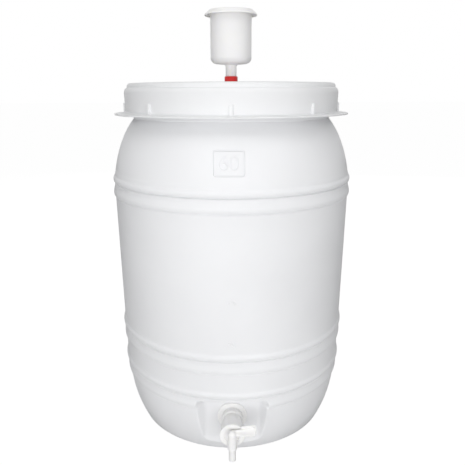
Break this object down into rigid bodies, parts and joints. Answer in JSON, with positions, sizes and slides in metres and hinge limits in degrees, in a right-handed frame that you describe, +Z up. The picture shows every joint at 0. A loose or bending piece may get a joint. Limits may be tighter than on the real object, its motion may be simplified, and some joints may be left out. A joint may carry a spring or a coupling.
{
  "type": "fermentation barrel",
  "caption": "White plastic wide-neck fermentation barrel with ribbed wall, screw lid, cup airlock in a red grommet and a lever drain tap.",
  "frame": {"origin": "centre of the barrel's flat base", "axes": "+Z up along the barrel's axis, -Y towards the tap at the front, +X to the right seen from the front"},
  "size_m": [0.4016, 0.4382, 0.6925],
  "materials": {
    "barrel_plastic": "satin white polyethylene",
    "lid_plastic": "satin white polyethylene",
    "gasket_rubber": "soft white rubber",
    "grommet_rubber": "red rubber",
    "airlock_plastic": "slightly translucent off-white plastic",
    "washer_plastic": "satin white plastic",
    "tap_plastic": "white plastic, lightly glossy"
  },
  "bodies": {
    "barrel_body": {"barrel_base": "barrel_plastic", "barrel_bowl": "barrel_plastic", "barrel_wall": "barrel_plastic", "barrel_crown": "barrel_plastic", "barrel_neck": "barrel_plastic", "tap_body": "tap_plastic", "tap_outer_washer": "washer_plastic", "tap_inner_washer": "gasket_rubber", "tap_nut": "tap_plastic"},
    "gasket": {"lid_gasket": "gasket_rubber"},
    "lid": {"lid": "lid_plastic", "airlock_grommet": "grommet_rubber"},
    "airlock": {"airlock_cup": "airlock_plastic"},
    "bell": {"airlock_bell": "airlock_plastic"},
    "cap": {"airlock_cap": "airlock_plastic"},
    "plug": {"tap_plug": "tap_plastic"}
  },
  "joints": [
    {"name": "lid_rise", "type": "slide", "parent": "barrel_body", "child": "gasket", "axis": [0, 0, 1], "range_m": [0, 0.0151]},
    {"name": "lid_turn", "type": "hinge", "parent": "gasket", "child": "lid", "pos_m": [0, 0, 0.573], "axis": [0, 0, 1], "range_deg": [0, 450]},
    {"name": "airlock_pull", "type": "slide", "parent": "lid", "child": "airlock", "axis": [0, 0, 1], "range_m": [0, 0.03]},
    {"name": "bell_rise", "type": "slide", "parent": "airlock", "child": "bell", "axis": [0, 0, 1], "range_m": [0, 0.008]},
    {"name": "cap_lift", "type": "slide", "parent": "airlock", "child": "cap", "axis": [0, 0, 1], "range_m": [0, 0.02]},
    {"name": "plug_turn", "type": "hinge", "parent": "barrel_body", "child": "plug", "pos_m": [0, -0.23, 0.06], "axis": [0, 0, 1], "range_deg": [-90, 0]}
  ],
  "couplings": [
    {"joint": "lid_rise", "follows": "lid_turn", "m_per_rad": 0.0019099}
  ]
}
